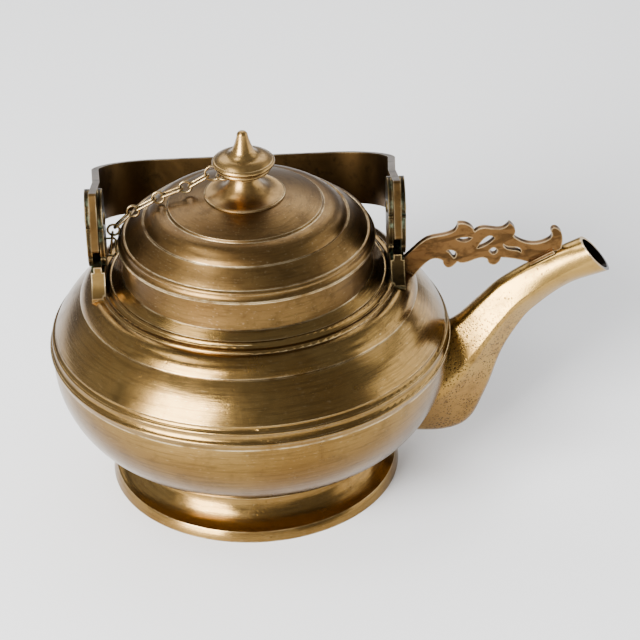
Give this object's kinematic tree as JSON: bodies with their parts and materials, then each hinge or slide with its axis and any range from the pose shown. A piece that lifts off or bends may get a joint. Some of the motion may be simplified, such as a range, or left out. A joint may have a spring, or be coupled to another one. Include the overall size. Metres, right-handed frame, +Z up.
{
  "type": "tea kettle",
  "caption": "Squat brass tea kettle on a flared foot, with a curved spout braced by an openwork bracket, a folding strap bail and a loose domed lid tethered by a chain.",
  "frame": {"origin": "centre of the foot ring on the floor it stands on", "axes": "+Z up along the turned axis, +X towards the spout, -Y towards the picture's viewer"},
  "size_m": [0.2507, 0.18, 0.17],
  "materials": {
    "spun_brass": "spun, aged satin with turning lines and bright worn edges",
    "lid_brass": "spun, warm brown patina with bright worn edges",
    "cast_spout_brass": "cast, yellow satin with small pits",
    "cast_bracket_bronze": "cast, coppery brown patina",
    "lug_brass": "cast, dark with golden edges and green traces",
    "bail_strap_brass": "flat strap, dark brown patina with streaks",
    "chain_wire_brass": "drawn wire, dulled"
  },
  "bodies": {
    "kettle": {"foot_ring": "spun_brass", "lower_bowl": "spun_brass", "upper_shoulder": "spun_brass", "neck_collar": "spun_brass", "spout": "cast_spout_brass", "spout_bracket": "cast_bracket_bronze", "left_lug_post": "lug_brass", "right_lug_post": "lug_brass", "left_outer_ear": "lug_brass", "left_inner_ear": "lug_brass", "right_outer_ear": "lug_brass", "right_inner_ear": "lug_brass", "left_bail_pin": "lug_brass", "right_bail_pin": "lug_brass", "lug_chain_staple": "chain_wire_brass"},
    "bail": {"bail_handle": "bail_strap_brass"},
    "lid": {"lid_dome": "lid_brass", "lid_bezel": "lid_brass", "finial": "lid_brass", "finial_washer": "lid_brass", "finial_chain_eye": "chain_wire_brass", "chain_ring_1": "chain_wire_brass", "chain_link_1": "chain_wire_brass", "chain_ring_2": "chain_wire_brass", "chain_link_2": "chain_wire_brass", "chain_ring_3": "chain_wire_brass", "chain_link_3": "chain_wire_brass", "chain_ring_4": "chain_wire_brass", "chain_link_4": "chain_wire_brass"},
    "chain_ring_e": {"chain_ring_5": "chain_wire_brass"},
    "chain_link_e": {"chain_link_5": "chain_wire_brass"}
  },
  "joints": [
    {"name": "bail_swing", "type": "hinge", "parent": "kettle", "child": "bail", "pos_m": [0, 0, 0.1302], "axis": [1, 0, 0], "range_deg": [0, 219.6]},
    {"name": "lid_lift", "type": "slide", "parent": "kettle", "child": "lid", "axis": [0, 0, 1], "range_m": [0, 0.0058]},
    {"name": "ring_5_swing", "type": "hinge", "parent": "lid", "child": "chain_ring_e", "pos_m": [-0.05766, 0.0035, 0.12356], "axis": [0, -1, 0], "range_deg": [-1.5, 3]},
    {"name": "link_5_swing", "type": "hinge", "parent": "chain_ring_e", "child": "chain_link_e", "pos_m": [-0.05863, 0.0035, 0.12104], "axis": [0, -1, 0], "range_deg": [-1.5, 3]}
  ]
}
